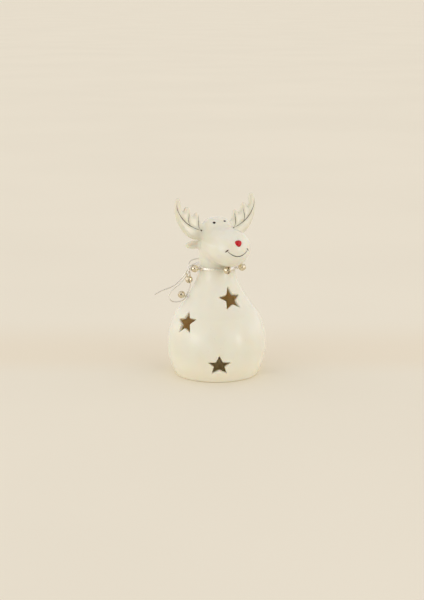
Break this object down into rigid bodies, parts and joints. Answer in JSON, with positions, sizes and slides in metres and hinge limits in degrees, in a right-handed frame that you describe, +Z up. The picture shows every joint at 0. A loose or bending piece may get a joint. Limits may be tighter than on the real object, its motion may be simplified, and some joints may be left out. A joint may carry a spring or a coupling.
{
  "type": "ceramic reindeer light",
  "caption": "Small hollow glazed ceramic reindeer light with star cut-outs, red nose, wire collar with jingle bells and a battery LED module in its base.",
  "frame": {"origin": "centre of the foot ring, on the surface that the figure stands on", "axes": "+Z up, the face looks along -Y, its right side is -X"},
  "size_m": [0.0887, 0.0814, 0.1482],
  "materials": {
    "ivory_glaze": "glossy ivory glaze, slightly uneven",
    "red_glaze": "glossy red enamel",
    "silver_wire": "bright drawn craft wire",
    "bell_silver": "polished plated pressed steel",
    "steel": "plated steel",
    "case_plastic": "fine moulded texture",
    "silicone": "translucent matt silicone",
    "board": "green solder mask",
    "black_plastic": "moulded black plastic",
    "led_epoxy": "clear warm epoxy lens",
    "frosted_dome": "frosted diffuser"
  },
  "bodies": {
    "reindeer": {"ceramic_body": "ivory_glaze", "antler_left": "ivory_glaze", "antler_right": "ivory_glaze", "ear_left": "ivory_glaze", "ear_right": "ivory_glaze", "nose": "red_glaze", "collar_wire": "silver_wire", "bow_knot": "silver_wire", "bow_loop_lower": "silver_wire", "bow_loop_upper": "silver_wire", "bow_tail": "silver_wire", "module_case": "case_plastic", "module_cover": "case_plastic", "gasket_ring": "silicone", "coin_cell": "steel", "battery_contact_positive": "steel", "battery_contact_negative": "steel", "circuit_board": "board", "resistor": "black_plastic", "led_bulb": "led_epoxy", "light_dome": "frosted_dome", "slide_switch": "black_plastic", "cover_screw_1": "steel", "cover_screw_2": "steel", "cover_screw_3": "steel"},
    "bell_front": {"bell_front": "bell_silver"},
    "pellet_front": {"bell_pellet_front": "steel"},
    "bell_left": {"bell_left": "bell_silver"},
    "pellet_left": {"bell_pellet_left": "steel"},
    "bell_right": {"bell_right": "bell_silver"},
    "pellet_right": {"bell_pellet_right": "steel"},
    "bell_bow_top": {"bell_bow_top": "bell_silver"},
    "pellet_bow_top": {"bell_pellet_bow_top": "steel"},
    "bell_bow_low": {"bell_bow_low": "bell_silver"},
    "pellet_bow_low": {"bell_pellet_bow_low": "steel"},
    "battery_door": {"battery_door": "case_plastic"},
    "switch_knob": {"switch_knob": "black_plastic"}
  },
  "joints": [
    {"name": "bell_front_swing", "type": "hinge", "parent": "reindeer", "child": "bell_front", "pos_m": [-0.00129, -0.01715, 0.0902], "axis": [0.9972, -0.075, 0], "range_deg": [0, 60]},
    {"name": "pellet_front_rattle", "type": "slide", "parent": "bell_front", "child": "pellet_front", "axis": [-0.075, -0.9972, 0], "range_m": [-0.0012, 0.0012]},
    {"name": "bell_left_swing", "type": "hinge", "parent": "reindeer", "child": "bell_left", "pos_m": [0.01237, -0.01195, 0.0902], "axis": [0.6947, 0.7193, 0], "range_deg": [0, 60]},
    {"name": "pellet_left_rattle", "type": "slide", "parent": "bell_left", "child": "pellet_left", "axis": [0.7193, -0.6947, 0], "range_m": [-0.0012, 0.0012]},
    {"name": "bell_right_swing", "type": "hinge", "parent": "reindeer", "child": "bell_right", "pos_m": [-0.01711, -0.0018, 0.0902], "axis": [0.1045, -0.9945, 0], "range_deg": [0, 60]},
    {"name": "pellet_right_rattle", "type": "slide", "parent": "bell_right", "child": "pellet_right", "axis": [-0.9945, -0.1045, 0], "range_m": [-0.0012, 0.0012]},
    {"name": "bell_bow_top_swing", "type": "hinge", "parent": "reindeer", "child": "bell_bow_top", "pos_m": [-0.02398, 0.00709, 0.0838], "axis": [-0.5092, 0.2707, -0.817], "range_deg": [-12, 15]},
    {"name": "pellet_bow_top_rattle", "type": "slide", "parent": "bell_bow_top", "child": "pellet_bow_top", "axis": [0.1933, -0.4808, -0.8553], "range_m": [-0.0012, 0.0012]},
    {"name": "bell_bow_low_swing", "type": "hinge", "parent": "reindeer", "child": "bell_bow_low", "pos_m": [-0.02455, 0.0075, 0.0656], "axis": [0.4371, -0.0228, 0.8991], "range_deg": [-30, 30]},
    {"name": "pellet_bow_low_rattle", "type": "slide", "parent": "bell_bow_low", "child": "pellet_bow_low", "axis": [-0.9131, 0.05, 0.4047], "range_m": [-0.0012, 0.0012]},
    {"name": "battery_door_hinge", "type": "hinge", "parent": "reindeer", "child": "battery_door", "pos_m": [0, -0.0111, 0.0008], "axis": [-1, 0, 0], "range_deg": [0, 100]},
    {"name": "switch_slide", "type": "slide", "parent": "reindeer", "child": "switch_knob", "axis": [1, 0, 0], "range_m": [0, 0.002]}
  ]
}
